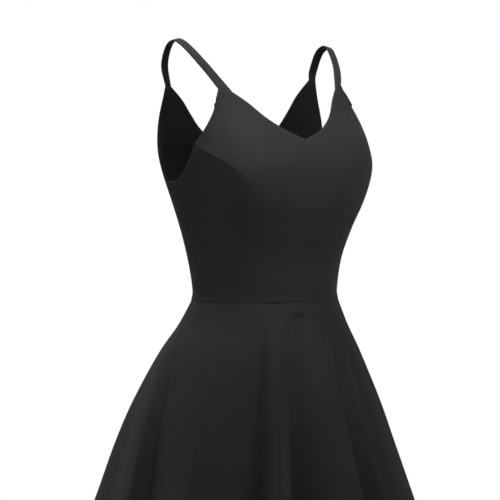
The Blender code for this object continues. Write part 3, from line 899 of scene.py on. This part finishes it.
def dart_height(material):
    """In mm: the upper cloth is lapped over each dart's seam, with a low lip that falls away upwards."""
    up = add_node(material, "ShaderNodeAttribute", attribute_name="dart_up").outputs["Fac"]
    sewn = add_node(material, "ShaderNodeAttribute", attribute_name="dart_sewn").outputs["Fac"]
    rise = {"Value": up, "From Min": DART_LIP_FROM, "From Max": DART_LIP_TO, "To Max": DART_LIP_HEIGHT}
    step = add_node(material, "ShaderNodeMapRange", rise, interpolation_type="SMOOTHSTEP")
    distance = add_node(material, "ShaderNodeMath", {0: up}, operation="ABSOLUTE")
    faded = add_node(material, "ShaderNodeMath", {0: distance, 1: -DART_LIP_FADES}, operation="DIVIDE")
    fall = add_node(material, "ShaderNodeMath", {0: faded}, operation="EXPONENT")
    lip = add_node(material, "ShaderNodeMath", {0: step, 1: fall}, operation="MULTIPLY")
    return add_node(material, "ShaderNodeMath", {0: lip, 1: sewn}, operation="MULTIPLY")


def make_crepe():
    """Polyester crepe, woven from hard-twisted yarn: matt, with a fine pebbled face and a faint sheen."""
    material = new_material("black_polyester_crepe")
    place = add_node(material, "ShaderNodeTexCoord").outputs["Object"]
    painted_shade_reverse = add_node(material, "ShaderNodeAttribute", attribute_name="painted_shade_reverse").outputs["Fac"]
    noises = []
    for size, detail in ((45 * MM, 3.0), (0.55 * MM, 2.0), (34 * MM, 1.0)):
        inputs = {"Vector": place, "Scale": 1 / size, "Detail": detail, "Roughness": 0.55}
        noises.append(add_node(material, "ShaderNodeTexNoise", inputs))
    dye, pebbling, rippling = noises
    face = add_node(
        material,
        "ShaderNodeMix",
        {"Factor": dye, 6: linear("#292929"), 7: linear("#2e2e2e")},
        data_type="RGBA",
    )
    # The inner face is painted #101010, far darker than the cloth's own black: painted shade inside the
    # dress and on the straps' inner faces
    colour = add_node(
        material,
        "ShaderNodeMix",
        {"Factor": painted_shade_reverse, 6: face.outputs[2], 7: linear("#101010")},
        data_type="RGBA",
    )
    pebble = add_node(material, "ShaderNodeMath", {0: pebbling, 1: 0.07}, operation="MULTIPLY")
    ripple = add_node(material, "ShaderNodeMath", {0: rippling, 1: 0.9}, operation="MULTIPLY")
    grain = add_node(material, "ShaderNodeMath", {0: pebble, 1: ripple}, operation="ADD")
    height = add_node(material, "ShaderNodeMath", {0: grain, 1: dart_height(material)}, operation="ADD")
    bump = add_node(material, "ShaderNodeBump", {"Height": height, "Strength": 1.0, "Distance": MM})
    shader = add_node(
        material,
        "ShaderNodeBsdfPrincipled",
        {
            "Base Color": colour.outputs[2],
            "Roughness": 0.7,
            "Specular IOR Level": 0.28,
            "Sheen Weight": 0.10,
            "Sheen Roughness": 0.5,
            "Normal": bump,
        },
    )
    return finish_material(material, shader)


def make_thread():
    """Spun polyester sewing thread: matt, twisted, a shade lighter than the crepe."""
    material = new_material("black_polyester_thread")
    place = add_node(material, "ShaderNodeTexCoord").outputs["Object"]
    inputs = {"Vector": place, "Scale": 1 / (0.25 * MM), "Detail": 1.0, "Roughness": 0.55}
    fibres = add_node(material, "ShaderNodeTexNoise", inputs)
    twist = add_node(material, "ShaderNodeMath", {0: fibres, 1: 0.1}, operation="MULTIPLY")
    bump = add_node(material, "ShaderNodeBump", {"Height": twist, "Strength": 1.0, "Distance": MM})
    inputs = {"Base Color": linear("#2b2b2d"), "Roughness": 0.6, "Sheen Weight": 0.2, "Normal": bump}
    return finish_material(material, add_node(material, "ShaderNodeBsdfPrincipled", inputs))


def make_enamelled_zinc():
    """Die-cast zinc under black enamel: smooth, with a satin gloss that tumbling has dulled."""
    material = new_material("black_enamelled_zinc")
    place = add_node(material, "ShaderNodeTexCoord").outputs["Object"]
    inputs = {"Vector": place, "Scale": 1 / (1.5 * MM), "Detail": 4.0}
    wear = add_node(material, "ShaderNodeTexNoise", inputs)
    rough = add_node(
        material,
        "ShaderNodeMapRange",
        {"Value": wear, "To Min": 0.42, "To Max": 0.56},
    )
    shader = add_node(
        material,
        "ShaderNodeBsdfPrincipled",
        {
            "Base Color": linear("#1a1a1b"),
            "Roughness": rough,
            "Coat Weight": 0.15,
            "Coat Roughness": 0.35,
        },
    )
    return finish_material(material, shader)


def make_floor_paint():
    """Matt white studio floor."""
    material = new_material("white_studio_paint")
    place = add_node(material, "ShaderNodeTexCoord").outputs["Object"]
    inputs = {"Vector": place, "Scale": 1 / (60 * MM), "Detail": 2.0}
    grain = add_node(material, "ShaderNodeTexNoise", inputs)
    colour = add_node(
        material,
        "ShaderNodeMix",
        {"Factor": grain, 6: linear("#f4f4f4"), 7: linear("#f7f7f7")},
        data_type="RGBA",
    )
    inputs = {"Base Color": colour.outputs[2], "Roughness": 0.9}
    return finish_material(material, add_node(material, "ShaderNodeBsdfPrincipled", inputs))


# ---- Studio ----
CAMERA_TURN = -35.0
CAMERA_DISTANCE = 3.2
CAMERA_ASIDE = 0.0215
CAMERA_ABOVE_WAIST = 0.1481
CAMERA_SHIFT = -0.1
SENSOR_WIDTH = 36.0
FOCAL_PIXELS = 2160
IMAGE_PIXELS = 500
FLOOR_BELOW_WAIST = 1.02
FLOOR_RADIUS, FLOOR_CORNERS = 2.6, 96


def make_camera():
    angle = math.radians(-CAMERA_TURN)
    data = bpy.data.cameras.new("camera")
    data.sensor_width = SENSOR_WIDTH
    data.lens = FOCAL_PIXELS * data.sensor_width / IMAGE_PIXELS
    data.shift_y = CAMERA_SHIFT
    camera = bpy.data.objects.new("camera", data)
    right = np.array((math.cos(angle), -math.sin(angle)))
    ahead = np.array((math.sin(angle), math.cos(angle)))
    x, y = np.array((0, -SHOULDERS_BEHIND_WAIST)) - ahead * CAMERA_DISTANCE - right * CAMERA_ASIDE
    camera.location = (x, y, CAMERA_ABOVE_WAIST - STRAP_TOP_TO_WAIST)
    camera.rotation_euler = (math.pi / 2, 0, -angle)
    bpy.context.scene.collection.objects.link(camera)
    bpy.context.scene.camera = camera


AMBIENT = 0.03
# name, turn from the camera's left (-) to its right (+), elevation, distance, above the waist, size, power
LIGHTS = (
    ("front_softbox", 20.0, 40.0, 0.9, 0.2, 0.5, 2.75),
    ("right_softbox", 50.0, 40.0, 0.9, 0.2, 0.5, 2.34),
    ("back_left_softbox", -120.0, 65.0, 2.6, 0.0, 1.2, 28.0),
    ("top_softbox", 0.0, 90.0, 0.45, 0.38, 0.3, 0.6),
    ("low_left_fill", -60.0, -15.0, 2.6, 0.0, 1.2, 11.0),
    ("low_right_fill", 60.0, -15.0, 2.6, 0.0, 1.2, 7.5),
)


def make_lights():
    for name, aside, elevation, distance, above, size, power in LIGHTS:
        data = bpy.data.lights.new(name, "AREA")
        data.shape = "DISK"
        data.size = size
        data.energy = power
        light = bpy.data.objects.new(name, data)
        turn, rise = math.radians(CAMERA_TURN + aside), math.radians(elevation)
        way = np.array((math.sin(turn) * math.cos(rise), -math.cos(turn) * math.cos(rise), math.sin(rise)))
        light.location = placed(0, 0, above) + way * distance
        light.rotation_euler = (math.pi / 2 - rise, 0, turn)
        light.visible_camera = False
        bpy.context.scene.collection.objects.link(light)


def make_world():
    """A white backdrop, which lights the dress only faintly."""
    world = bpy.data.worlds.new("white_studio")
    world.use_nodes = True
    ray = add_node(world, "ShaderNodeLightPath").outputs["Is Camera Ray"]
    strength = add_node(world, "ShaderNodeMath", {0: ray, 1: AMBIENT}, operation="MAXIMUM").outputs[0]
    background = world.node_tree.nodes["Background"]
    background.inputs["Color"].default_value = (1, 1, 1, 1)
    world.node_tree.links.new(strength, background.inputs["Strength"])
    bpy.context.scene.world = world


def make_floor():
    bpy.ops.mesh.primitive_circle_add(
        vertices=FLOOR_CORNERS,
        radius=FLOOR_RADIUS,
        fill_type="NGON",
        location=(0, -SHOULDERS_BEHIND_WAIST, -STRAP_TOP_TO_WAIST - FLOOR_BELOW_WAIST),
    )
    floor = bpy.context.object
    floor.name = "studio_floor"
    floor.data.materials.append(make_floor_paint())
    bpy.ops.object.transform_apply(location=True)


def make_dress():
    crepe, metal, thread = make_crepe(), make_enamelled_zinc(), make_thread()
    make_zip(crepe, metal, thread)
    make_bodice(crepe)
    for name, side in (("right", -1), ("left", 1)):
        make_strap(name, side, crepe)
    make_skirt(crepe)
    make_inside_seams(crepe)
    for name in ("zip_slider", "zip_pull"):
        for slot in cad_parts[name].material_slots:
            slot.material = metal


make_camera()
make_dress()
make_floor()
make_lights()
make_world()
bpy.context.scene.view_settings.view_transform = "Standard"
